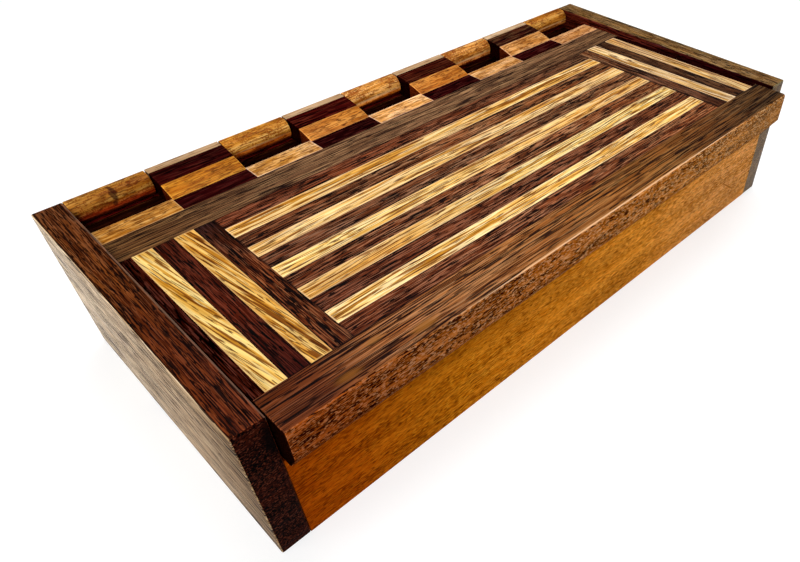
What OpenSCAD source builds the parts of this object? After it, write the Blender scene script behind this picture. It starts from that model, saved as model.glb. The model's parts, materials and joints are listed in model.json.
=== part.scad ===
// Wooden box with a strip-laminated lid that turns on a wooden knuckle hinge.
// X runs along the length, Y from the front to the back, Z up. The origin is the middle of the underside.

/* [Case] */
// Length over the two end boards
box_length = 330; // [300:1:360]
// Depth from front to back, without the lip
box_depth = 152.4; // [144:0.2:170]
// Height of the end boards at the back
back_height = 70.8; // [64:0.1:80]
// How much lower the end boards are at the front
front_drop = 3; // [0:0.1:4]
// Thickness of each end board
end_board_t = 12; // [9:0.1:15]
// Thickness of the front panel
front_panel_t = 12; // [8:0.1:15]
// Thickness of the back board that carries the hinge
back_board_t = 22; // [18:0.1:26]
// Thickness of the bottom panel
bottom_panel_t = 6; // [4:0.1:9]

/* [Lid] */
// Thickness of the lid
lid_t = 22.3; // [18:0.1:26]
// How far the lid's top lies below the end boards at the back
lid_drop = 4.2; // [3:0.1:5]
// Gap between the lid and each end board
side_gap = 0.7; // [0.4:0.1:1.2]
// Gap between the lid and the front panel under it
seat_gap = 0.3; // [0.2:0.1:0.6]
// How far the lip overhangs the front panel
lip_reach = 8; // [6:0.1:12]
// Height of the lip's upright face
lip_face = 14.6; // [10:0.1:17]
// Reach of the slope cut under the lip
lip_undercut = 5; // [3:0.1:6]
// Radius of the lip's top edge
lip_round = 1.5; // [0.5:0.1:3]

/* [Lid strips] */
// Width of the front rail behind the front panel's face
front_rail_w = 9.5; // [7:0.1:12]
// Width of the back rail
back_rail_w = 15.5; // [12:0.1:18]
// Width of the dark strip along each end of the lid
edge_strip_w = 4.4; // [3:0.1:6]
// Width of each golden cross stripe
cross_stripe_w = 8.1; // [6:0.1:10]
// Width of each dark strip beside a cross stripe
cross_dark_w = 8.7; // [6:0.1:10]
// Width of each golden long stripe
long_stripe_w = 8; // [6:0.1:9]

/* [Hinge] */
// Radius of a barrel's rounded front, half of its height
barrel_r = 5.2; // [4.6:0.1:5.8]
// Depth of a barrel
barrel_w = 7.35; // [7:0.05:8.5]
// Radius of the pin
pin_r = 1.6; // [1.2:0.1:2]
// Gap between the pin and a knuckle that turns on it
pin_running_gap = 0.08; // [0.04:0.01:0.1]
// Gap between the pin and a barrel that holds it
pin_slip_gap = 0.02; // [0.01:0.01:0.04]
// Gap between each end of the pin and the end board
pin_end_gap = 0.4; // [0.2:0.1:1]
// Gap between a barrel and the knuckle beside it
finger_gap = 0.5; // [0.3:0.1:0.8]
// Gap between the back board and the parts of the lid that pass it
swing_gap = 0.6; // [0.4:0.1:0.9]
// How much further back the light blocks of the chequered row reach than the dark ones
light_reach = 1.4; // [0:0.1:3]
// Depth of the dark blocks of the chequered row
chequer_w = 9.5; // [8:0.1:11]
// Depth of the dark part of a knuckle
knuckle_w = 10.2; // [9:0.1:12]
// Depth of the pale strip on the back of a knuckle
back_strip_w = 4.2; // [3:0.1:5]

/* [Hidden] */
$fn = 96;

// Counts of the pattern
barrel_count = 5;
knuckle_count = barrel_count - 1;
column_count = barrel_count + knuckle_count;
long_count = 5;
cross_count = 4;
cross_per_end = cross_count / 2;

// Case
inner_half = box_length / 2 - end_board_t;
y_front = -box_depth / 2;
y_back = box_depth / 2;
front_height = back_height - front_drop;

// Lid
lid_top = back_height - lid_drop;
lid_bottom = lid_top - lid_t;
lid_half = inner_half - side_gap;
lid_z = [lid_bottom, lid_top];
lid_x = [-lid_half, lid_half];
y_lip = y_front - lip_reach;

// Hinge: pin axis, middle of a barrel's rounded front, top of the back board and underside of the knuckles
axis_y = y_back - barrel_w / 2;
axis_z = back_height - barrel_r;
nose_y = y_back - barrel_w + barrel_r;
back_board_top = back_height - 2 * barrel_r;
y_board = y_back - back_board_t;
knuckle_low = back_board_top + swing_gap;

// Rows of the hinge, from the back to the front
y_strip = y_back - back_strip_w;
y_knuckle = y_strip - knuckle_w;
y_edge = y_board - swing_gap;
y_neck = y_edge - light_reach;
y_chequer = y_neck - chequer_w;
y_rail = y_chequer - back_rail_w;

// Crown of the knuckles: an arc that is level at the back and meets the lid's top at the neck
crown_run = y_back - y_neck;
crown_r = (crown_run * crown_run + lid_drop * lid_drop) / (2 * lid_drop);

// Striped field between the rails
y_field = y_front + front_rail_w;
field_y = [y_field, y_rail];
long_dark_w = (y_rail - y_field - long_count * long_stripe_w) / (long_count + 1);
long_pitch = long_dark_w + long_stripe_w;
cross_pitch = cross_stripe_w + cross_dark_w;
field_half = cross_outer(cross_per_end);

// Columns of the hinge
column_w = 2 * inner_half / column_count;

// Colours of the woods and the pin
walnut = "#5b4030";
walnut_rail = "#6e5240";
dark_wood = "#2e1712";
golden_wood = "#d8b060";
cherry = "#b9773a";
light_wood = "#c98f52";
pale_wood = "#dcc19a";
brass = "#b59a57";

function numbered(name, count) = [for (i = [1:count]) str(name, "_", i)];

// Distance from the middle to the outer edge of the k-th cross stripe, counted from the lid's end
function cross_outer(k) = lid_half - edge_strip_w - k * cross_pitch;

// Place of a cross piece from the left: its side, its rank from the lid's end and its span
function cross_side(i) = i <= cross_per_end ? -1 : 1;
function cross_rank(i) = i <= cross_per_end ? i - 1 : cross_count - i;
function mirrored(side, span) = side > 0 ? span : [-span[1], -span[0]];

// Left edge of a hinge column, counted from 0, and the columns of the barrels and the knuckles
function column_left(k) = -inner_half + k * column_w;
function barrel_column(i) = 2 * (i - 1);
function knuckle_column(i) = 2 * i - 1;
function knuckle_x(i) = [column_left(knuckle_column(i)), column_left(knuckle_column(i) + 1)];
function lid_column_x(i) = [
    max(-lid_half, column_left(barrel_column(i))),
    min(lid_half, column_left(barrel_column(i) + 1))
];

// Straight block between three pairs of low and high sides
module block(x, y, z) {
    translate([x[0], y[0], z[0]])
        cube([x[1] - x[0], y[1] - y[0], z[1] - z[0]]);
}

// Profile drawn in Y and Z, carried along X
module along_x(x) {
    translate([x[0], 0, 0])
        rotate([90, 0, 90])
            linear_extrude(x[1] - x[0])
                children();
}

// Round bar or bore on the pin's axis
module on_axis(x, r) {
    translate([x[0], axis_y, axis_z])
        rotate([0, 90, 0])
            cylinder(h = x[1] - x[0], r = r);
}

// Outline of the box between two depths, from any low side up to the end boards' level
module band(y, low) {
    translate([y[0], low])
        square([y[1] - y[0], back_height - low]);
}

// Everything under the knuckles' crown
module crown() {
    translate([y_back, back_height - crown_r])
        circle(crown_r);
}

// Underside of a knuckle: level in front of the pin, rounded about it behind, open upwards
module knuckle_side() {
    band([y_knuckle, axis_y], knuckle_low);
    translate([axis_y, axis_z])
        circle(axis_z - knuckle_low);
    band([axis_y, y_back], axis_z);
}

module end_board(side) {
    color(walnut)
        along_x(mirrored(side, [inner_half, box_length / 2]))
            polygon([[y_front, 0], [y_back, 0], [y_back, back_height], [y_front, front_height]]);
}

module front_panel() {
    color(cherry)
        block([-inner_half, inner_half], [y_front, y_front + front_panel_t], [0, lid_bottom - seat_gap]);
}

module back_board() {
    color(walnut)
        block([-inner_half, inner_half], [y_board, y_back], [0, back_board_top]);
}

module bottom_panel() {
    color(cherry)
        block([-inner_half, inner_half], [y_front + front_panel_t, y_board], [0, bottom_panel_t]);
}

module hinge_pin() {
    color(brass)
        on_axis([-inner_half + pin_end_gap, inner_half - pin_end_gap], pin_r);
}

// Barrel on the back board: a bar with a half-round front, flush with the back
module barrel(i) {
    left = column_left(barrel_column(i)) + (i == 1 ? 0 : finger_gap);
    right = column_left(barrel_column(i) + 1) - (i == barrel_count ? 0 : finger_gap);
    color(light_wood)
        difference() {
            along_x([left, right]) {
                intersection() {
                    translate([nose_y, axis_z])
                        circle(barrel_r);
                    band([y_back - barrel_w, y_back], back_board_top);
                }
                band([nose_y, y_back], back_board_top);
            }
            on_axis([left - 1, right + 1], pin_r + pin_slip_gap);
        }
}

// Front rail with the lip: upright face, slope cut under it and a rounded top edge
module front_rail() {
    color(walnut_rail)
        along_x(lid_x) {
            polygon([
                [y_lip, lid_top - lip_round],
                [y_lip, lid_top - lip_face],
                [y_lip + lip_undercut, lid_bottom],
                [y_field, lid_bottom],
                [y_field, lid_top],
                [y_lip + lip_round, lid_top]
            ]);
            translate([y_lip + lip_round, lid_top - lip_round])
                circle(lip_round);
        }
}

module back_rail() {
    color(walnut_rail)
        block(lid_x, [y_rail, y_chequer], lid_z);
}

module edge_strip(side) {
    color(dark_wood)
        block(mirrored(side, [cross_outer(0), lid_half]), field_y, lid_z);
}

module cross_stripe(i) {
    outer = cross_outer(cross_rank(i));
    color(golden_wood)
        block(mirrored(cross_side(i), [outer - cross_stripe_w, outer]), field_y, lid_z);
}

module cross_dark(i) {
    outer = cross_outer(cross_rank(i)) - cross_stripe_w;
    color(dark_wood)
        block(mirrored(cross_side(i), [outer - cross_dark_w, outer]), field_y, lid_z);
}

module long_stripe(i) {
    front = y_field + i * long_pitch - long_stripe_w;
    color(golden_wood)
        block([-field_half, field_half], [front, front + long_stripe_w], lid_z);
}

module long_dark(i) {
    front = y_field + (i - 1) * long_pitch;
    color(dark_wood)
        block([-field_half, field_half], [front, front + long_dark_w], lid_z);
}

// Chequered row next to the back rail: light opposite the barrels, dark opposite the knuckles
module light_block(i) {
    color(light_wood)
        block(lid_column_x(i), [y_chequer, y_edge], lid_z);
}

module dark_block(i) {
    color(dark_wood)
        block(knuckle_x(i), [y_chequer, y_neck], lid_z);
}

// Light neck under the crown: as thick as the lid in front of the back board, an arm above it
module neck(i) {
    color(light_wood)
        along_x(knuckle_x(i))
            intersection() {
                union() {
                    band([y_neck, y_edge], lid_bottom);
                    band([y_edge, y_knuckle], knuckle_low);
                }
                crown();
            }
}

// One piece of a knuckle, between two depths, that turns on the pin
module knuckle_piece(i, y) {
    difference() {
        along_x(knuckle_x(i))
            intersection() {
                band(y, lid_bottom);
                crown();
                knuckle_side();
            }
        on_axis(knuckle_x(i) + [-1, 1], pin_r + pin_running_gap);
    }
}

module knuckle(i) {
    color(dark_wood)
        knuckle_piece(i, [y_knuckle, y_strip]);
}

module back_strip(i) {
    color(pale_wood)
        knuckle_piece(i, [y_strip, y_back]);
}

end_board(-1);  // left_end_board
end_board(1);  // right_end_board
front_panel();
back_board();
bottom_panel();
hinge_pin();
front_rail();
back_rail();
edge_strip(-1);  // left_edge_strip
edge_strip(1);  // right_edge_strip
for (i = [1:barrel_count]) {
    barrel(i);
    light_block(i);
}
for (i = [1:knuckle_count]) {
    dark_block(i);
    neck(i);
    knuckle(i);
    back_strip(i);
}
for (i = [1:cross_count]) {
    cross_stripe(i);
    cross_dark(i);
}
for (i = [1:long_count])
    long_stripe(i);
for (i = [1:long_count + 1])
    long_dark(i);
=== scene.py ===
import json
import math

import bmesh
import bpy
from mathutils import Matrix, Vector

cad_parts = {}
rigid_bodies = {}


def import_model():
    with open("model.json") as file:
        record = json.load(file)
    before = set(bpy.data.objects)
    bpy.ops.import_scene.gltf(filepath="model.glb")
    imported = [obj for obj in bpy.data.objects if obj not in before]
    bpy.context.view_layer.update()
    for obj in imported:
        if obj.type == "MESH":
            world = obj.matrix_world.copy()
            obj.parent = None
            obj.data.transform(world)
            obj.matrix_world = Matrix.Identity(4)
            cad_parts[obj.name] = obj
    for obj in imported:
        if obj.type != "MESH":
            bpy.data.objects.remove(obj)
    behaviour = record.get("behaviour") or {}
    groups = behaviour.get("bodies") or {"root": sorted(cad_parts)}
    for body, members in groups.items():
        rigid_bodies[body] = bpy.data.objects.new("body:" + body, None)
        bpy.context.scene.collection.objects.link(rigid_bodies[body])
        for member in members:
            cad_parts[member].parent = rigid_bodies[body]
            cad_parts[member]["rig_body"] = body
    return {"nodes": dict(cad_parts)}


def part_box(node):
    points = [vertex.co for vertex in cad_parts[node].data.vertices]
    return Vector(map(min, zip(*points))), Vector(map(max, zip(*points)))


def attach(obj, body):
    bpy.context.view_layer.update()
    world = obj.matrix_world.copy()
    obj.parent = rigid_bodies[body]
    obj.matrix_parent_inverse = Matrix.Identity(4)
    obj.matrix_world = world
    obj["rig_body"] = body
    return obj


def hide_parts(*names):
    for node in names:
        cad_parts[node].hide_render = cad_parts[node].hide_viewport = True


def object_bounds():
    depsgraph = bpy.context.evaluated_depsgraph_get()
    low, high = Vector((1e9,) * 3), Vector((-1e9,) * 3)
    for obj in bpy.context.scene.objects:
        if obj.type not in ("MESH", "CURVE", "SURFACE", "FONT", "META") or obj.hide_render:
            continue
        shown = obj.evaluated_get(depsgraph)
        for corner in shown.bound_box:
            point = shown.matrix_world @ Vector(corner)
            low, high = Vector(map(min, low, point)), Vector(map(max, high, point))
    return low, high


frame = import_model()
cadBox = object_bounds()
print("loaded", len(frame["nodes"]), "nodes")

mm = 0.001
allSides = ("-x", "+x", "-y", "+y", "-z", "+z")

# Faces that single marks lie on, in mm
leftEnd = cadBox[0][0] / mm
lipFront = cadBox[0][1] / mm
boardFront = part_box("front_panel")[0][1] / mm
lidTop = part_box("front_rail")[1][2] / mm


# Node helpers

def addNode(tree, kind, inputs=None, **settings):
    made = tree.nodes.new(kind)
    for key, value in settings.items():
        setattr(made, key, value)
    for key, value in (inputs or {}).items():
        if isinstance(value, bpy.types.NodeSocket):
            tree.links.new(value, made.inputs[key])
        else:
            made.inputs[key].default_value = value
    return made


# Linear colour from an sRGB code
def colourOf(code):
    parts = [int(code[k:k + 2], 16) / 255 for k in (0, 2, 4)]
    return [((c + 0.055) / 1.055) ** 2.4 if c > 0.04045 else c / 12.92 for c in parts] + [1.0]


def mathNode(tree, operation, a, b):
    return addNode(tree, "ShaderNodeMath", {0: a, 1: b}, operation=operation).outputs[0]


def vectorNode(tree, operation, a, b=None):
    inputs = {0: a} if b is None else {0: a, 1: b}
    made = addNode(tree, "ShaderNodeVectorMath", inputs, operation=operation)
    return made.outputs["Value" if operation == "LENGTH" else "Vector"]


# The Mix node has its two colours in inputs 6 and 7, and the mixed one in output 2
def mixColours(tree, share, a, b, blend="MIX"):
    made = addNode(tree, "ShaderNodeMix", {0: share, 6: a, 7: b}, data_type="RGBA", blend_type=blend)
    return made.outputs[2]


def tint(tree, colour, factor, share=1.0):
    return mixColours(tree, share, colour, factor, "MULTIPLY")


def rangeNode(tree, value, low, high, outLow=0.0, outHigh=1.0):
    inputs = {"Value": value, "From Min": low, "From Max": high, "To Min": outLow, "To Max": outHigh}
    return addNode(tree, "ShaderNodeMapRange", inputs, interpolation_type="SMOOTHSTEP").outputs["Result"]


# Stops are pairs of a place from 0 to 1 and a colour, as an sRGB code or as three factors
def rampNode(tree, value, stops):
    ramp = addNode(tree, "ShaderNodeValToRGB", {0: value})
    elements = ramp.color_ramp.elements
    while len(elements) < len(stops):
        elements.new(0.5)
    for element, (place, code) in zip(elements, stops):
        element.position = place
        element.color = colourOf(code) if isinstance(code, str) else (*code, 1.0)
    return ramp.outputs["Color"]


# Object coordinates in mm
def placeInMm(tree):
    coords = addNode(tree, "ShaderNodeTexCoord").outputs["Object"]
    return addNode(tree, "ShaderNodeMapping", {"Vector": coords, "Scale": [1 / mm] * 3}).outputs[0]


# Rises evenly from 0 to top along one axis, between two places in mm
def riseAlong(tree, millimetres, axis, low, high, top=1.0):
    place = addNode(tree, "ShaderNodeSeparateXYZ", {0: millimetres}).outputs[axis]
    inputs = {"Value": place, "From Min": low, "From Max": high, "To Max": top}
    return addNode(tree, "ShaderNodeMapRange", inputs).outputs["Result"]


# Noise drawn out along the grain: along and across are the size of its marks in mm
def grainNoise(tree, vector, along, across, seed, detail=2.0, output="Fac"):
    drawn = vectorNode(tree, "MULTIPLY", vector, (1 / along, 1 / across, 1 / across))
    inputs = {"Vector": drawn, "W": seed, "Scale": 1.0, "Detail": detail}
    return addNode(tree, "ShaderNodeTexNoise", inputs, noise_dimensions="4D").outputs[output]


# Wood

# What all woods share: the steps between the seeds of one wood's noises, their detail and middle, the noise
# levels that a change is spread over, and how roughness and relief follow from them
woodNoise = {
    "ringSeed": 7.3, "streakSeed": 11, "layerSeed": 23, "layerStep": 17, "cloudSeed": 31, "fibreSeed": 41,
    "wanderDetail": 1.0, "ringDetail": 4.0, "layerDetail": 0.5, "middle": 0.5,
    "toneLevels": (0.35, 0.65), "roughLevels": (0.3, 0.7), "roughSpread": 0.08, "sunkRough": 0.3,
    "fibreSize": (9.0, 0.35), "fibreHeight": 0.5, "bumpDepth": 0.1 * mm,
}

# What every wood starts from: sizes in mm, tones as sRGB. Wander, streaks and cloud give a length, a width
# and an amount. Each wood adds its own seed, pith, ringWidth, gloss, tones and layers
plainWood = {
    "grain": "x", "lean": 0.0, "wander": (160, 14, 4.0), "ringRough": 0.55, "streaks": (45, 1.2, 0.5),
    "cloud": (50, 9, 0.12), "fibre": 0.1, "shade": (1, 1, 1, 1), "rough": 0.38, "bump": 0.5,
    "drift": None, "rim": None, "dulled": None, "marks": [],
    "lightenedBy": (1.35, 1.4, 1.5, 1), "lightenedFaces": {}, "eased": 0.0,
    "end": {"shade": (0.4, 0.4, 0.45, 1), "gloss": 0.04, "rough": 0.7, "rim": None},
}
seedStep = 3.1  # between the pieces of a row


def wood(base, **changes):
    return {**plainWood, **base, **changes}


# Numbers and names of the pieces in a row
def piecesOf(name, row):
    return [(k, f"{name}_{k}") for k in range(1, len(row["shades"]) + 1)]


# Wood of piece k in a row of like pieces, with its own grain, shade and drift
def rowWood(base, row, k, **changes):
    stops = row.get("drifts", {}).get(k)
    drift = (*row["span"], stops) if stops else None
    return wood(base, seed=row["seed"] + seedStep * k, shade=row["shades"][k - 1], drift=drift, **changes)


# Layer of lines, dashes or pores: their size along and across the grain, the noise levels where they start
# and are full, their tone and its strength, how deep they lie, and how they crowd where the wood is darker
def grainLayer(long, wide, levels, tone, depth, sunk=0.0, crowd=0.0):
    marks = {"long": long, "wide": wide, "levels": levels, "crowd": crowd}
    return {**marks, "tone": tone, "depth": depth, "sunk": sunk}


# Single mark: its place and half sizes in mm, the share of it that is soft, its turn in degrees
def singleMark(at, half, soft, depth, tone, turn=(0, 0, 0), sunk=0.0):
    return {"at": at, "half": half, "soft": soft, "depth": depth, "tone": tone, "turn": turn, "sunk": sunk}


# Rim round the top of a strip, from the strip's own box
def rimOf(node, rim):
    low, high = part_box(node)
    middle = [(a + b) / 2 / mm for a, b in zip(low, high)]
    half = [(b - a) / 2 / mm for a, b in zip(low, high)]
    return {**rim, "middle": middle, "half": half}


# Coordinates along the grain, straight and gently wandering
def grainPlaces(tree, millimetres, look):
    turn = math.radians(look["lean"] - (90 if look["grain"] == "y" else 0))
    along = addNode(tree, "ShaderNodeMapping", {"Vector": millimetres, "Rotation": (0, 0, turn)}).outputs[0]
    length, width, amount = look["wander"]
    drift = grainNoise(tree, along, length, width, look["seed"], woodNoise["wanderDetail"], "Color")
    drift = vectorNode(tree, "SUBTRACT", drift, [woodNoise["middle"]] * 3)
    drift = vectorNode(tree, "MULTIPLY", drift, (0, amount, amount))
    return along, vectorNode(tree, "ADD", along, drift)


# Growth rings about a far pith
def growthRings(tree, bent, look):
    fromPith = vectorNode(tree, "SUBTRACT", bent, (0, *look["pith"]))
    fromPith = vectorNode(tree, "MULTIPLY", fromPith, (0, 1, 1))
    radius = vectorNode(tree, "LENGTH", fromPith)
    place = mathNode(tree, "DIVIDE", radius, look["ringWidth"])
    place = mathNode(tree, "ADD", place, look["seed"] * woodNoise["ringSeed"])
    inputs = {"W": place, "Scale": 1.0, "Detail": woodNoise["ringDetail"], "Roughness": look["ringRough"]}
    return addNode(tree, "ShaderNodeTexNoise", inputs, noise_dimensions="1D").outputs[0]


# Lighter and darker marks all over: gives their noise and the changed colour
def mottle(tree, colour, vector, size, seed):
    length, width, share = size
    noise = grainNoise(tree, vector, length, width, seed)
    change = rangeNode(tree, noise, *woodNoise["toneLevels"], 1 - share, 1 + share)
    return noise, tint(tree, colour, change)


# Rim along the sides of a strip: its depth at the side, 0 further in
def rimMask(tree, millimetres, rim):
    beside = vectorNode(tree, "SUBTRACT", millimetres, rim["middle"])
    beside = vectorNode(tree, "ABSOLUTE", beside)
    beside = vectorNode(tree, "SUBTRACT", beside, rim["half"])
    parts = addNode(tree, "ShaderNodeSeparateXYZ", {0: beside})
    nearest = mathNode(tree, "MAXIMUM", parts.outputs["X"], parts.outputs["Y"])
    return rangeNode(tree, nearest, -rim["wide"], 0.0, 0.0, rim["depth"])


# Soft spot of a single mark: 1 inside, 0 outside
def spotMask(tree, millimetres, mark):
    turn = [math.radians(a) for a in mark["turn"]]
    inputs = {"Vector": millimetres, "Location": mark["at"], "Rotation": turn, "Scale": mark["half"]}
    local = addNode(tree, "ShaderNodeMapping", inputs, vector_type="TEXTURE").outputs[0]
    return rangeNode(tree, vectorNode(tree, "LENGTH", local), 1.0, 1 - mark["soft"])


# Lays the tone of a layer or mark on through its mask, and sinks it
def layOn(tree, colour, sunk, mask, mark):
    mask = mathNode(tree, "MULTIPLY", mask, mark["depth"])
    colour = mixColours(tree, mask, colour, colourOf(mark["tone"]))
    return colour, mathNode(tree, "ADD", sunk, mathNode(tree, "MULTIPLY", mask, mark["sunk"]))


# Rings and streaks, clouds, layers of marks, fibres, drift, rim, wear and single marks, one on the other
def woodMaterial(name, look):
    material = bpy.data.materials.new(name)
    material.use_nodes = True
    tree = material.node_tree
    tree.nodes.clear()
    seed = look["seed"]
    millimetres = placeInMm(tree)
    along, bent = grainPlaces(tree, millimetres, look)

    # Rings, broken up along their length by streaks
    rings = growthRings(tree, bent, look)
    length, width, share = look["streaks"]
    streaks = grainNoise(tree, bent, length, width, seed + woodNoise["streakSeed"])
    tone = addNode(tree, "ShaderNodeMix", {0: share, 2: rings, 3: streaks}, data_type="FLOAT").outputs[0]
    colour = rampNode(tree, tone, look["tones"])

    # Clouds, and layers of lines, dashes and pores
    cloud, colour = mottle(tree, colour, along, look["cloud"], seed + woodNoise["cloudSeed"])
    sunk = 0.0
    darker = mathNode(tree, "SUBTRACT", woodNoise["middle"], cloud)
    for k, layer in enumerate(look["layers"]):
        layerSeed = seed + woodNoise["layerSeed"] + woodNoise["layerStep"] * k
        noise = grainNoise(tree, bent, layer["long"], layer["wide"], layerSeed, woodNoise["layerDetail"])
        noise = mathNode(tree, "ADD", noise, mathNode(tree, "MULTIPLY", darker, layer["crowd"]))
        colour, sunk = layOn(tree, colour, sunk, rangeNode(tree, noise, *layer["levels"]), layer)

    # Fibres, and a tone that changes along the piece
    fibreLook = (*woodNoise["fibreSize"], look["fibre"])
    fibres, colour = mottle(tree, colour, bent, fibreLook, seed + woodNoise["fibreSeed"])
    if look["drift"]:
        axis, low, high, stops = look["drift"]
        colour = tint(tree, colour, rampNode(tree, riseAlong(tree, millimetres, axis, low, high), stops))
    if look["rim"]:
        mask = rimMask(tree, millimetres, look["rim"])
        colour = mixColours(tree, mask, colour, colourOf(look["rim"]["tone"]))

    # Eased edges are lighter, partly wear and partly a painted highlight, and so are the sides listed for
    # the piece
    lightened = addNode(tree, "ShaderNodeAttribute", attribute_name="lightened").outputs["Fac"]
    colour = tint(tree, colour, look["lightenedBy"], lightened)
    colour = tint(tree, colour, look["shade"])

    # Single marks such as scars and mineral lines
    for mark in look["marks"]:
        colour, sunk = layOn(tree, colour, sunk, spotMask(tree, millimetres, mark), mark)

    # Sunk marks are rougher
    roughRange = (look["rough"] - woodNoise["roughSpread"], look["rough"] + woodNoise["roughSpread"])
    rough = rangeNode(tree, streaks, *woodNoise["roughLevels"], *roughRange)
    rough = mathNode(tree, "ADD", rough, mathNode(tree, "MULTIPLY", sunk, woodNoise["sunkRough"]))
    if look["dulled"]:
        axis, low, high, extra = look["dulled"]
        rough = mathNode(tree, "ADD", rough, riseAlong(tree, millimetres, axis, low, high, extra))
    height = mathNode(tree, "SUBTRACT", mathNode(tree, "MULTIPLY", fibres, woodNoise["fibreHeight"]), sunk)
    inputs = {"Height": height, "Strength": look["bump"], "Distance": woodNoise["bumpDepth"]}
    bump = addNode(tree, "ShaderNodeBump", inputs).outputs[0]
    inputs = {"Base Color": colour, "Roughness": rough, "Specular IOR Level": look["gloss"], "Normal": bump}
    shader = addNode(tree, "ShaderNodeBsdfPrincipled", inputs)
    addNode(tree, "ShaderNodeOutputMaterial", {"Surface": shader.outputs[0]})
    return material


# Mesh helpers

# Angles in degrees. A face takes a side's look where its normal's share along that axis passes reach, and
# with wideReach the easing beside the face takes it too
easing = {
    "weld": 0.002 * mm, "flat": 0.5, "crease": 35, "sharp": 30, "segments": 3,
    "reach": 0.9, "wideReach": 0.6,
}


def facing(face):
    axis = max(range(3), key=lambda k: abs(face.normal[k]))
    return ("-" if face.normal[axis] < 0 else "+") + "xyz"[axis]


# Copy of a CAD node, merged, with its exposed edges eased: an edge is exposed if both faces beside it are.
# Its lightening attribute is 1 on the eased edges, partly wear and partly a painted highlight, and takes the
# values given in the last argument on the sides named there
def easedPiece(node, exposed, radius, lightenedFaces):
    bm = bmesh.new()
    bm.from_mesh(frame["nodes"][node].data)
    bmesh.ops.remove_doubles(bm, verts=bm.verts, dist=easing["weld"])
    bmesh.ops.dissolve_limit(bm, angle_limit=math.radians(easing["flat"]), verts=bm.verts, edges=bm.edges)
    bm.normal_update()
    lightened = bm.faces.layers.float.new("lightened")
    for face in bm.faces:
        face[lightened] = lightenedFaces.get(facing(face), 0.0)
    crease = math.radians(easing["crease"])
    edges = [e for e in bm.edges if len(e.link_faces) == 2 and e.calc_face_angle() > crease
             and all(facing(f) in exposed for f in e.link_faces)]
    if edges:
        made = bmesh.ops.bevel(bm, geom=edges, offset=radius, offset_type="OFFSET", affect="EDGES",
                               segments=easing["segments"], profile=0.5, clamp_overlap=True, material=-1)
        for face in made["faces"]:
            face[lightened] = 1.0
    for face in bm.faces:
        face.smooth = True
    mesh = bpy.data.meshes.new(node + "_wood")
    bm.to_mesh(mesh)
    bm.free()
    mesh.set_sharp_from_angle(angle=math.radians(easing["sharp"]))
    piece = bpy.data.objects.new(node + "_wood", mesh)
    bpy.context.scene.collection.objects.link(piece)
    return piece


# Eased piece in its wood, in the place of its CAD node. Its end grain is darker and drinks up the oil,
# and a side of it can have a look of its own
def dress(node, look, exposed=(), sideLooks=None, reach=easing["reach"]):
    piece = easedPiece(node, exposed, look["eased"], look["lightenedFaces"])
    piece.data.materials.append(woodMaterial(node, look))
    endLook = {**look, **look["end"]}
    looks = {"-" + look["grain"]: endLook, "+" + look["grain"]: endLook, **(sideLooks or {})}
    slots = {}
    for face in piece.data.polygons:
        side = facing(face)
        if side in looks and max(abs(c) for c in face.normal) > reach:
            key = id(looks[side])
            if key not in slots:
                piece.data.materials.append(woodMaterial(f"{node}_{len(slots) + 1}", looks[side]))
                slots[key] = len(slots) + 1
            face.material_index = slots[key]
    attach(piece, frame["nodes"][node]["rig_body"])
    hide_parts(node)


# End boards, grain from front to back, and the back board between them: dark walnut.
# The outer faces are lighter and polished, and duller towards the front
boardSpan = ("Y", -76, 76)
endBoard = {
    "grain": "y", "pith": (60, 20), "ringWidth": 2.6, "wander": (160, 18, 3.0), "cloud": (60, 5, 0.15),
    "gloss": 0.04, "eased": 0.7 * mm, "tones": [(0.4, "5c2e0c"), (0.5, "724016"), (0.6, "885422")],
    "layers": [
        grainLayer(15, 0.34, (0.515, 0.545), "160502", 0.93, sunk=0.6, crowd=0.06),
        grainLayer(12, 0.36, (0.56, 0.61), "b07844", 0.5),
        grainLayer(4, 0.34, (0.58, 0.61), "0c0201", 0.9, sunk=1.0, crowd=0.15),
    ],
    "end": {
        "grain": "x", "shade": (0.15, 0.1, 0.11, 1), "gloss": 0.02, "rough": 0.7, "wander": (30, 8, 3.0),
        "cloud": (16, 8, 0.3),
        "layers": [
            grainLayer(0.9, 0.42, (0.47, 0.53), "060101", 0.97, sunk=0.6, crowd=0.3),
            grainLayer(0.8, 0.42, (0.56, 0.62), "ffdca4", 0.7),
        ],
    },
}
outerFace = {
    "tones": [(0.4, "98744e"), (0.5, "a8845e"), (0.6, "b6946e")], "gloss": 0.3, "rough": 0.4, "bump": 0.6,
    "cloud": (60, 8, 0.1), "dulled": ("Y", 60, -76, 0.3),
    "layers": [
        grainLayer(20, 0.58, (0.56, 0.585), "2e1608", 0.95, sunk=0.9, crowd=0.2),
        grainLayer(18, 0.55, (0.56, 0.62), "e4c8a4", 0.6),
        grainLayer(9, 0.48, (0.58, 0.605), "2a1206", 0.85, sunk=1.0, crowd=0.2),
    ],
}
leftBoard = {
    "seed": 1.3,
    "drift": (*boardSpan, [(0.0, (0.56, 0.27, 0.23)), (0.37, (0.49, 0.29, 0.33)), (0.62, (0.68, 0.5, 0.47)),
                           (1.0, (0.67, 0.57, 0.77))]),
    "marks": [
        # Painted highlight along the inner top edge, and a dark line along the outer
        singleMark((-153.2, 0, 69.0), (0.8, 140, 2.2), 0.5, 0.5, "8c6c58", turn=(1.1, 0, 0)),
        singleMark((leftEnd, 0, 69.0), (1.1, 140, 2.2), 0.4, 0.9, "0c0402", turn=(1.1, 0, 0)),
    ],
}
leftOuter = {
    # Lighter and greyer towards the back: partly wood tone, partly a painted sheen
    "drift": (*boardSpan, [(0.0, (0.46, 0.42, 0.32)), (0.35, (1, 1.06, 1.08)), (1.0, (1.25, 1.38, 1.38))]),
    "marks": [
        # Short crack near the front
        singleMark((leftEnd, -72.4, 59.7), (3, 5.2, 0.85), 0.2, 1.0, "020100", turn=(-14, 0, 0), sunk=1.0),
    ],
}
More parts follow.
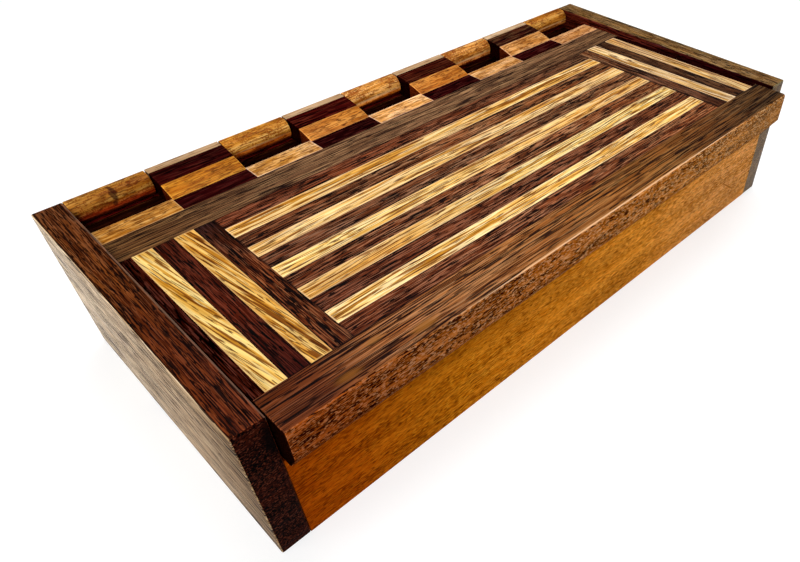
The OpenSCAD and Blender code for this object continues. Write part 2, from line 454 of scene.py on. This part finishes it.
leftFrontShadow = {
    "marks": [
        # Painted shadow of the lip on the corner beside it
        singleMark((-153.5, boardFront, 58), (4.5, 3, 11), 0.6, 0.9, "040101"),
    ],
}
# The top of the right board is lighter and paler
rightBoard = {"seed": 2.9, "lightenedFaces": {"+z": 0.9}, "lightenedBy": (1.22, 1.85, 2.8, 1)}
# Inner face of the right board: painted shade, darkest at the front
rightInner = {
    "shade": (0.42, 0.19, 0.25, 1), "gloss": 0.0,
    "drift": (*boardSpan, [(0.0, (0.12, 0.03, 0.1)), (0.35, (0.42, 0.2, 0.65)), (0.65, (1.25, 1.1, 2)),
                           (1.0, (0.9, 0.6, 0.7))]),
}
rightFront = {"shade": (1.0, 1.5, 2.0, 1), "gloss": 0.3, "rough": 0.5}
backBoard = {"seed": 5.6, "grain": "x"}
# Top of the back board under the barrels: a painted shade over all of it, darkest at the front, and wine-red
# further back
recessFloor = {
    "shade": (0.36, 0.24, 0.28, 1), "gloss": 0.0,
    "drift": ("Y", 66, 74, [(0.33, (0.2, 0.15, 0.2)), (0.42, (1, 1, 1)), (0.52, (1, 1, 1)),
                            (0.58, (2, 0.35, 0.9)), (1.0, (2.6, 0.45, 1.2))]),
}
look = wood(endBoard, **leftBoard, end={**endBoard["end"], **leftFrontShadow})
sides = {"-x": {**look, **outerFace, **leftOuter}}
dress("left_end_board", look, allSides, sides, easing["wideReach"])
look = wood(endBoard, **rightBoard)
sides = {"+x": {**look, **outerFace}, "-x": {**look, **rightInner}, "-y": {**look, **rightFront}}
dress("right_end_board", look, allSides, sides, easing["wideReach"])
look = wood(endBoard, **backBoard)
dress("back_board", look, allSides, {"+y": {**look, **outerFace}, "+z": {**look, **recessFloor}})
print("end boards and back board dressed")

# Front panel and bottom panel: cherry, grain along the box. The front panel is redder and darker at the left
# and paler at the right, a painted light gradient
panelSpan = ("X", -153, 153)
cherryPanel = {
    "pith": (-90, 25), "ringWidth": 3.5, "streaks": (30, 1.2, 0.6), "cloud": (60, 12, 0.09), "bump": 0.3,
    "fibre": 0.16, "gloss": 0.0, "rough": 0.5, "eased": 0.4 * mm,
    "tones": [(0.4, "c2762a"), (0.5, "d08438"), (0.6, "da8e46")],
    "layers": [
        grainLayer(3.5, 0.45, (0.52, 0.58), "6e320a", 0.56, sunk=0.3, crowd=0.2),
        grainLayer(3.0, 0.45, (0.55, 0.61), "f4b464", 0.42),
        grainLayer(2.5, 0.42, (0.6, 0.64), "4c1c02", 0.6, sunk=0.6, crowd=0.3),
    ],
}
frontPanel = {
    "seed": 4.1,
    "drift": (*panelSpan, [(0.0, (0.42, 0.19, 0.02)), (0.08, (0.52, 0.28, 0.04)), (0.25, (0.88, 0.74, 0.15)),
                           (0.45, (0.94, 0.85, 0.3)), (0.65, (1.02, 0.98, 0.5)), (0.9, (1.07, 1.18, 1.5))]),
    "marks": [
        # Painted shade close under the lip
        singleMark((-72, boardFront, 44), (90, 3, 24), 1.0, 0.5, "6c3806"),
        # Dark grain line at the right
        singleMark((128, boardFront, 17.5), (13, 3, 0.6), 0.7, 0.7, "7a4210", turn=(0, 34, 0), sunk=0.3),
    ],
}
bottomPanel = {"seed": 6.2}
dress("front_panel", wood(cherryPanel, **frontPanel), ("-y", "-z"))
dress("bottom_panel", wood(cherryPanel, **bottomPanel))
print("cherry boards dressed")

# Rails of the lid: walnut, grain along the box. The front of the lip is speckled, and its top edge has a
# painted highlight
railSpan = ("X", -152, 152)
lidRail = {
    "pith": (50, -70), "ringWidth": 2.4, "streaks": (60, 1.3, 0.55), "cloud": (40, 6, 0.12),
    "wander": (200, 20, 3.0), "gloss": 0.06, "fibre": 0.14, "eased": 0.5 * mm,
    "tones": [(0.4, "7a4c22"), (0.5, "8e5c2e"), (0.6, "a0703e")],
    "layers": [
        grainLayer(24, 0.38, (0.53, 0.55), "140303", 0.97, sunk=0.6, crowd=0.08),
        grainLayer(22, 0.4, (0.55, 0.6), "c49a6c", 0.55),
        grainLayer(8, 0.38, (0.59, 0.62), "160404", 0.9, sunk=1.0, crowd=0.15),
    ],
    # End grain, darkened to near black as a painted shade of the lip's end
    "end": {"shade": (0.08, 0.06, 0.07, 1), "gloss": 0.0, "rough": 0.8},
}
# Painted highlight along the top edge of the lip
lipHighlight = singleMark((15, -83.85, 66.25), (120, 0.44, 0.44), 0.4, 0.9, "e8b88c")  # brightest in the middle
frontRail = {
    "seed": 7.4,
    "drift": (*railSpan, [(0.06, (0.38, 0.2, 0.17)), (0.15, (0.98, 0.77, 0.69)),
                          (0.3, (1.12, 0.89, 0.71)), (0.62, (0.88, 0.71, 0.42)),
                          (0.81, (0.48, 0.37, 0.28)), (0.94, (0.34, 0.32, 0.29))]),
    "marks": [
        # Smooth patches without lines
        singleMark((-125.8, -79.6, lidTop), (7, 2.4, 3), 0.8, 0.75, "7c4a16"),
        singleMark((-110.7, -72.7, lidTop), (5, 2.0, 3), 0.8, 0.7, "8c5a28"),
        singleMark((-94.3, -79.5, lidTop), (8, 2.6, 3), 0.8, 0.75, "8a5618"),
        lipHighlight,
    ],
}
backRail = {
    "seed": 8.8, "tones": [(0.4, "6c4a30"), (0.5, "7e5a3e"), (0.6, "907050")],
    "drift": (*railSpan, [(0.05, (0.55, 0.45, 0.32)), (0.2, (0.8, 0.74, 0.7)), (0.42, (1.03, 1, 1)),
                          (1.0, (0.81, 0.74, 0.68))]),
    "marks": [
        # Dark flecks
        singleMark((30, 31, lidTop), (6, 0.9, 2), 0.6, 0.85, "1c0c08", turn=(0, 0, 8), sunk=0.6),
        singleMark((44, 36, lidTop), (8, 0.8, 2), 0.6, 0.8, "1c0c08", turn=(0, 0, 5), sunk=0.6),
    ],
}
lipFace = {
    "gloss": 0.0, "bump": 0.2, "tones": [(0.4, "9e5916"), (0.5, "b86e26"), (0.6, "d08538")],
    "layers": [
        grainLayer(3.2, 0.4, (0.53, 0.555), "340e06", 0.95, sunk=0.6, crowd=0.2),
        grainLayer(1.3, 0.42, (0.56, 0.6), "f0be80", 0.65),
        grainLayer(1.4, 0.5, (0.62, 0.65), "200604", 0.75, sunk=0.6, crowd=0.5),
    ],
    # Darker and redder at the left, paler at the right: a painted light gradient
    "drift": (*railSpan, [(0.06, (0.43, 0.26, 0.22)), (0.19, (0.54, 0.45, 0.5)), (0.38, (0.75, 0.66, 0.68)),
                          (0.69, (0.92, 0.9, 0.9)), (0.94, (1.05, 1.15, 1.4))]),
    "marks": [
        # Calmer towards the right end
        singleMark((165, lipFront, 57), (140, 3, 24), 1.0, 0.45, "aa7440"),
        # Dark specks
        singleMark((29.5, lipFront, 59.0), (2.4, 2, 1.3), 0.6, 0.9, "260806", turn=(0, 12, 0), sunk=0.8),
        singleMark((14.1, lipFront, 60.2), (2.0, 2, 1.5), 0.6, 0.9, "260806", turn=(0, -20, 0), sunk=0.8),
        # Painted shade along the lower edge, strongest at the left
        singleMark((-98, lipFront, 46.5), (22, 2, 1.6), 0.9, 0.6, "1a0a06", sunk=0.4),
        singleMark((-90, lipFront, 48), (80, 3, 5), 1.0, 0.4, "1e0a08"),
        lipHighlight,
    ],
}
look = wood(lidRail, **frontRail)
dress("front_rail", look, ("-x", "+x", "+z", "-y"), {"-y": {**look, **lipFace}}, easing["wideReach"])
dress("back_rail", wood(lidRail, **backRail))
print("rails dressed")

# Dark strips of the lid, with a dark rim where the glue line is
crossSpan = ("Y", -66, 27)
longSpan = ("X", -105, 110)
darkStrip = {
    "pith": (40, -55), "ringWidth": 2.2, "streaks": (35, 1.0, 0.6), "cloud": (40, 4, 0.15),
    "wander": (160, 18, 3.0), "gloss": 0.05, "fibre": 0.14,
    "tones": [(0.4, "623117"), (0.5, "784324"), (0.6, "8c5837")],
    "layers": [
        grainLayer(14, 0.42, (0.52, 0.54), "080101", 0.98, sunk=0.6, crowd=0.15),
        grainLayer(14, 0.4, (0.555, 0.59), "bc8c68", 0.7),
        grainLayer(5, 0.4, (0.58, 0.605), "080101", 0.95, sunk=1.0, crowd=0.2),
    ],
}
darkRim = {"wide": 0.9, "tone": "0c0303", "depth": 0.6}
broadRim = {"wide": 1.5, "tone": "0c0303", "depth": 0.9}
edgeStrip = {
    "seed": 20, "gloss": 0.0,
    # The right strip is darkened as a painted shadow of the right end board
    "shades": {"left": (0.22, 0.1, 0.12, 1), "right": (0.06, 0.02, 0.03, 1)},
}
for k, (end, shade) in enumerate(edgeStrip["shades"].items()):
    seed = edgeStrip["seed"] + seedStep * k
    dress(f"{end}_edge_strip", wood(darkStrip, grain="y", seed=seed, shade=shade, gloss=edgeStrip["gloss"]))
crossDark = {
    "seed": 30, "span": crossSpan, "rims": (darkRim, darkRim, broadRim, broadRim),
    "shades": ((0.34, 0.15, 0.14, 1), (0.58, 0.41, 0.37, 1), (0.67, 0.66, 0.65, 1), (0.38, 0.34, 0.28, 1)),
    "drifts": {
        1: [(0.0, (0.44, 0.24, 0.26)), (0.4, (1.03, 0.92, 0.86)), (1.0, (0.74, 0.66, 0.62))],
        2: [(0.0, (0.98, 0.9, 0.75)), (0.5, (1.28, 1.14, 0.84)), (1.0, (0.15, 0.17, 0.4))],
        3: [(0.0, (0.44, 0.3, 0.24)), (0.5, (1.02, 1.02, 1.14)), (1.0, (1.2, 1.12, 0.95))],
    },
}
for k, node in piecesOf("cross_dark", crossDark):
    rim = rimOf(node, crossDark["rims"][k - 1])
    dress(node, rowWood(darkStrip, crossDark, k, grain="y", rim=rim))
# The long strip beside the back rail drifts in its own way
frontDrift = [(0.0, (0.68, 0.54, 0.52)), (0.4, (1.01, 0.95, 0.91)), (1.0, (1.02, 0.92, 0.75))]
backDrift = [(0.0, (0.86, 0.64, 0.57)), (0.4, (1.16, 0.98, 0.87)), (1.0, (0.64, 0.73, 0.67))]
longDark = {
    "seed": 50, "span": longSpan,
    "shades": ((1.02, 0.9, 0.85, 1), (0.82, 0.68, 0.68, 1), (1.12, 1.08, 1.04, 1), (0.9, 0.95, 1.0, 1),
               (1.0, 0.96, 0.86, 1), (0.76, 0.63, 0.63, 1)),
    "drifts": {**dict.fromkeys(range(1, 6), frontDrift), 6: backDrift},
}
for k, node in piecesOf("long_dark", longDark):
    dress(node, rowWood(darkStrip, longDark, k, rim=rimOf(node, darkRim)))
print("dark strips dressed")

# Golden stripes of the lid, with a pale rim
goldenStripe = {
    "pith": (30, -45), "ringWidth": 2.6, "ringRough": 0.6, "streaks": (50, 1.5, 0.5),
    "wander": (80, 10, 6.0), "cloud": (40, 7, 0.12), "bump": 0.35, "gloss": 0.06, "fibre": 0.14,
    "tones": [(0.38, "b0741e"), (0.45, "ce963e"), (0.52, "eaba68"), (0.6, "fcdd9a")],
    "layers": [
        grainLayer(24, 0.6, (0.535, 0.57), "784008", 0.9, sunk=0.3, crowd=0.25),
        grainLayer(24, 0.8, (0.55, 0.61), "ffe6b0", 0.65),
        grainLayer(9, 0.45, (0.605, 0.645), "4c2408", 0.85, sunk=0.8, crowd=0.2),
    ],
}
paleRim = {"wide": 0.9, "tone": "f4cc98", "depth": 0.7}
crossStripe = {
    "seed": 70, "span": crossSpan, "leans": (-8, -7, -3, 3),
    "shades": ((0.92, 0.88, 0.64, 1), (0.85, 0.72, 0.45, 1), (0.97, 0.99, 1.16, 1), (0.87, 0.81, 0.84, 1)),
    "drifts": {
        3: [(0.15, (0.87, 0.85, 0.86)), (0.5, (0.95, 0.9, 0.86)), (0.85, (1.07, 1.1, 1.18))],
        4: [(0.15, (0.92, 0.89, 0.78)), (0.5, (1.08, 1.14, 1.25)), (0.85, (0.87, 0.81, 0.76))],
    },
}
for k, node in piecesOf("cross_stripe", crossStripe):
    lean = crossStripe["leans"][k - 1]
    dress(node, rowWood(goldenStripe, crossStripe, k, grain="y", lean=lean, rim=rimOf(node, paleRim)))
longStripe = {
    "seed": 90, "span": longSpan,
    "shades": ((1.13, 1.13, 1.1, 1), (0.97, 0.96, 0.92, 1), (1.04, 1, 0.94, 1), (0.99, 0.92, 0.87, 1),
               (1.06, 1.04, 1.04, 1)),
    "drifts": {
        2: [(0.15, (0.88, 0.75, 0.61)), (0.5, (1.01, 1.1, 1.2)), (0.85, (1.12, 1.18, 1.13))],
        3: [(0.15, (1.05, 1.1, 1.08)), (0.5, (1, 0.97, 0.93)), (0.85, (0.9, 0.8, 0.72))],
        5: [(0.15, (0.96, 0.91, 0.77)), (0.5, (0.9, 0.86, 0.8)), (0.85, (1.16, 1.23, 1.35))],
    },
}
for k, node in piecesOf("long_stripe", longStripe):
    dress(node, rowWood(goldenStripe, longStripe, k, rim=rimOf(node, paleRim)))
print("golden stripes dressed")

# Light pieces of the hinge: five barrels, five blocks and four necks
lightHinge = {
    "pith": (45, -30), "ringWidth": 2.8, "streaks": (16, 1.1, 0.65), "cloud": (7, 7, 0.12), "gloss": 0.05,
    "bump": 0.35, "eased": 0.4 * mm, "tones": [(0.4, "b06a1c"), (0.5, "cc8a3c"), (0.6, "e0a65c")],
    # End grain, darkened further as a painted shade on the neck sides beside the barrels
    "end": {"shade": (0.16, 0.05, 0.04, 1), "gloss": 0.0, "rough": 0.7, "rim": None},
    "layers": [
        grainLayer(6, 0.6, (0.54, 0.59), "8a4a0c", 0.7, sunk=0.3, crowd=0.3),
        grainLayer(3, 0.5, (0.59, 0.63), "562404", 0.75, sunk=0.8, crowd=0.3),
    ],
}
# Pale rim round the tops of the blocks and necks: a painted highlight along their edges
blockHighlightRim = {"wide": 0.7, "tone": "e6b27c", "depth": 0.45}

# Barrels: a painted shade underneath, a nose in its own tone that also carries painted light, and plain wood
# on top. The first has a scar, and the others have a painted highlight line on the nose
plainTone = (1, 1, 1)
barrel = {
    "seed": 110, "span": ("Z", 62, 67),
    "shades": ((0.63, 0.59, 0.41, 1), (1.07, 1.15, 1.05, 1), (1.23, 1.3, 1.5, 1), (1.1, 1.1, 1.2, 1),
               (0.84, 0.81, 0.62, 1)),
    "underneath": [(0.0, (0.3, 0.1, 0.1)), (0.25, (0.4, 0.12, 0.12))],
    # Nose tones carry painted light: brighter on the third and fourth, darker and redder on the first
    "noses": ((1.2, 0.28, 0.28), (1.25, 0.7, 0.4), (1.9, 1.4, 0.95), (2.0, 1.7, 1.6), (1.3, 0.95, 0.85)),
    "noseFoot": 0.36, "noseTop": (0.5, 0.6, 0.6, 0.6, 0.6), "flatEdge": (1.0, 0.75, 0.75, 0.75, 0.75),
    "ticks": grainLayer(0.6, 1.0, (0.57, 0.63), "8a3c08", 0.7, sunk=0.5, crowd=0.5),
    "light": {"place": (68.9, 65.6), "half": (21, 1.6, 0.8), "soft": 0.9, "tone": "ffc888",
              "depths": {2: 0.3, 3: 0.75, 4: 0.85, 5: 0.5}},
    "scar": [
        singleMark((-135, 71.5, 70.0), (1.2, 3.6, 3), 0.5, 0.8, "2a0804", turn=(0, 0, 20), sunk=1.0),
        singleMark((-135.7, 69.8, 68.4), (1.3, 3.0, 3.4), 0.5, 0.8, "240604", turn=(0, 0, 30), sunk=1.0),
        singleMark((-136.2, 68.6, 65.6), (1.2, 2.0, 1.6), 0.5, 0.7, "240604", turn=(0, 0, 30), sunk=1.0),
    ],
}
lightBlock = {
    "seed": 130,
    "shades": ((0.92, 0.97, 1.03, 1), (1.22, 1.53, 2.8, 1), (1.35, 1.6, 2.9, 1), (1.12, 1.28, 2.2, 1),
               (0.92, 0.93, 1.45, 1)),
}
neck = {
    "seed": 150,
    "shades": ((0.78, 0.63, 0.2, 1), (0.81, 0.64, 0.39, 1), (0.84, 0.64, 0.37, 1), (0.97, 0.98, 1.25, 1)),
}


def noseHighlight(k):
    light = barrel["light"]
    low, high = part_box(f"barrel_{k}")
    at = ((low[0] + high[0]) / 2 / mm, *light["place"])
    return singleMark(at, light["half"], light["soft"], light["depths"][k], light["tone"])


def barrelWood(k):
    nose = barrel["noses"][k - 1]
    stops = [*barrel["underneath"], (barrel["noseFoot"], nose), (barrel["noseTop"][k - 1], nose),
             (barrel["flatEdge"][k - 1], plainTone)]
    look = rowWood(lightHinge, barrel, k, marks=barrel["scar"] if k == 1 else [noseHighlight(k)])
    layers = lightHinge["layers"] + [barrel["ticks"]]
    return {**look, "drift": (*barrel["span"], stops), "layers": layers}


for k, node in piecesOf("barrel", barrel):
    look = barrelWood(k)
    dress(node, look, allSides, {"+y": {**look, "drift": None, "marks": []}})
    block = f"light_block_{k}"
    dress(block, rowWood(lightHinge, lightBlock, k, rim=rimOf(block, blockHighlightRim)), ("+y", "+z"))
for k, node in piecesOf("neck", neck):
    dress(node, rowWood(lightHinge, neck, k, rim=rimOf(node, blockHighlightRim)), ("-x", "+x", "+z"))
print("light hinge pieces dressed")

# Dark pieces of the hinge: four blocks and four knuckles
darkHinge = {
    "pith": (40, -50), "ringWidth": 4.0, "streaks": (30, 1.2, 0.5), "gloss": 0.0, "bump": 0.3,
    "eased": 0.35 * mm, "tones": [(0.4, "2c0602"), (0.5, "420a04"), (0.6, "561808")],
    "layers": [
        grainLayer(9, 0.5, (0.52, 0.57), "080101", 0.9, sunk=0.5, crowd=0.3),
        grainLayer(8, 0.5, (0.58, 0.64), "7c3418", 0.5),
    ],
    "end": {"shade": (0.15, 0.1, 0.12, 1), "gloss": 0.0, "rough": 0.8},
}
knuckle = {
    "seed": 210,
    "shades": ((0.5, 0.57, 1.45, 1), (0.89, 0.86, 1.66, 1), (0.65, 0.97, 1.55, 1), (0.8, 2.4, 3.6, 1)),
}
darkBlock = {"seed": 190, "shades": [(0.45, 0.5, 1.5, 1)] * len(knuckle["shades"])}
for k, node in piecesOf("knuckle", knuckle):
    dress(f"dark_block_{k}", rowWood(darkHinge, darkBlock, k))
    dress(node, rowWood(darkHinge, knuckle, k), ("-x", "+x", "+z"))
print("dark hinge pieces dressed")

# Pale strips on the backs of the knuckles
paleStrip = {
    "pith": (40, -50), "ringWidth": 4.0, "streaks": (25, 1.2, 0.5), "bump": 0.3, "gloss": 0.06,
    "eased": 0.5 * mm, "tones": [(0.4, "a68058"), (0.5, "ba9670"), (0.6, "ccac88")],
    "layers": [grainLayer(8, 0.9, (0.57, 0.63), "7a5632", 0.7, sunk=0.5, crowd=0.4)],
}
backStrip = {"seed": 230, "shades": [plainWood["shade"]] * len(knuckle["shades"])}
for k, node in piecesOf("back_strip", backStrip):
    dress(node, rowWood(paleStrip, backStrip, k), ("-x", "+x", "+z", "+y"))
print("pale strips dressed")

# Hinge pin: plain brass rod with fine scratches along it
pin = {
    "tone": "b08d4a", "shade": "8a6a34", "rough": (0.24, 0.4), "roughLevels": (0.3, 0.7),
    "scratch": (30, 0.3), "seed": 3.0,
}
pinMetal = bpy.data.materials.new("pin_brass")
pinMetal.use_nodes = True
tree = pinMetal.node_tree
scratches = grainNoise(tree, placeInMm(tree), *pin["scratch"], pin["seed"])
pinColour = mixColours(tree, scratches, colourOf(pin["tone"]), colourOf(pin["shade"]))
pinRough = rangeNode(tree, scratches, *pin["roughLevels"], *pin["rough"])
pinShader = tree.nodes["Principled BSDF"]
tree.links.new(pinColour, pinShader.inputs["Base Color"])
tree.links.new(pinRough, pinShader.inputs["Roughness"])
pinShader.inputs["Metallic"].default_value = 1.0
pinNode = frame["nodes"]["hinge_pin"]
pinNode.data.materials.clear()
pinNode.data.materials.append(pinMetal)
print("pin dressed")

# Camera: place in mm and turn in degrees, fitted to the box's corners in the photograph
camera = {
    "place": (-191.2, -211.93, 226.84), "turn": (46.235, -0.313, -46.046), "sensor": 36.0,
    "focalPixels": 670.38, "centrePixel": (510.36, 313.92), "image": (800, 562),
}
width, height = camera["image"]
cameraData = bpy.data.cameras.new("camera")
cameraData.sensor_width = camera["sensor"]
cameraData.lens = camera["focalPixels"] / width * camera["sensor"]
cameraData.shift_x = (width / 2 - camera["centrePixel"][0]) / width
cameraData.shift_y = (camera["centrePixel"][1] - height / 2) / width
cameraObject = bpy.data.objects.new("camera", cameraData)
cameraObject.location = Vector(camera["place"]) * mm
cameraObject.rotation_euler = [math.radians(a) for a in camera["turn"]]
bpy.context.scene.collection.objects.link(cameraObject)
bpy.context.scene.camera = cameraObject

# Floor, lamps and surroundings: places and sizes in metres, power in watts. The sky brightens from skyStart,
# which is 0 at the horizon and 1 overhead, up to straight overhead
stage = {
    "floorSize": 12.0, "floorDrop": 0.05 * mm, "floorTone": 0.5, "floorLift": 0.6,
    "lamps": {
        "overheadLamp": {"place": (0.25, 0.2, 1.1), "wide": 0.7, "deep": 0.7, "power": 7.0},
        "fillLamp": {"place": (-0.8, -0.9, 1.0), "wide": 0.8, "deep": 0.8, "power": 17.0},
        "sideLamp": {"place": (0.9, 0.05, 1.0), "wide": 0.3, "deep": 0.3, "power": 2.5},
        "leftLamp": {"place": (-1.3, 0.3, 0.25), "wide": 0.6, "deep": 0.3, "power": 6.5},
        "frontCard": {"place": (0.1, -0.9, 0.026), "wide": 1.4, "deep": 0.05, "power": 1.5},
    },
    "skyStart": 0.65, "horizon": 0.03, "overhead": 0.35,
}
bm = bmesh.new()
bmesh.ops.create_grid(bm, x_segments=1, y_segments=1, size=stage["floorSize"] / 2)
floorMesh = bpy.data.meshes.new("floor")
bm.to_mesh(floorMesh)
bm.free()
floor = bpy.data.objects.new("floor", floorMesh)
floor.location.z = -stage["floorDrop"]
bpy.context.scene.collection.objects.link(floor)
floorPaint = bpy.data.materials.new("floor_white")
floorPaint.use_nodes = True
tree = floorPaint.node_tree
tree.nodes.clear()
rays = addNode(tree, "ShaderNodeLightPath")
seen = mathNode(tree, "MAXIMUM", rays.outputs["Is Camera Ray"], rays.outputs["Is Glossy Ray"])
seen = mathNode(tree, "MAXIMUM", seen, rays.outputs["Is Transmission Ray"])
lift = mathNode(tree, "MULTIPLY", seen, stage["floorLift"])
glow = addNode(tree, "ShaderNodeEmission", {"Strength": lift})
matte = addNode(tree, "ShaderNodeBsdfDiffuse", {"Color": [stage["floorTone"]] * 3 + [1.0]})
both = addNode(tree, "ShaderNodeAddShader", {0: matte.outputs[0], 1: glow.outputs[0]})
addNode(tree, "ShaderNodeOutputMaterial", {"Surface": both.outputs[0]})
floorMesh.materials.append(floorPaint)

for name, lamp in stage["lamps"].items():
    lampData = bpy.data.lights.new(name, "AREA")
    lampData.shape = "RECTANGLE"
    lampData.size = lamp["wide"]
    lampData.size_y = lamp["deep"]
    lampData.energy = lamp["power"]
    lampObject = bpy.data.objects.new(name, lampData)
    lampObject.location = lamp["place"]
    lampObject.rotation_euler = (-Vector(lamp["place"])).to_track_quat("-Z", "Y").to_euler()
    lampObject.visible_camera = False
    bpy.context.scene.collection.objects.link(lampObject)

world = bpy.data.worlds.new("surroundings")
bpy.context.scene.world = world
world.use_nodes = True
tree = world.node_tree
tree.nodes.clear()
direction = addNode(tree, "ShaderNodeTexCoord").outputs["Generated"]
upward = addNode(tree, "ShaderNodeSeparateXYZ", {0: direction}).outputs["Z"]
level = rangeNode(tree, upward, stage["skyStart"], 1.0, stage["horizon"], stage["overhead"])
isCamera = addNode(tree, "ShaderNodeLightPath").outputs["Is Camera Ray"]
level = mathNode(tree, "MAXIMUM", level, isCamera)
sky = addNode(tree, "ShaderNodeBackground", {"Strength": level})
addNode(tree, "ShaderNodeOutputWorld", {"Surface": sky.outputs[0]})
print("camera, floor and lamps placed")

bpy.context.scene.view_settings.view_transform = "Standard"
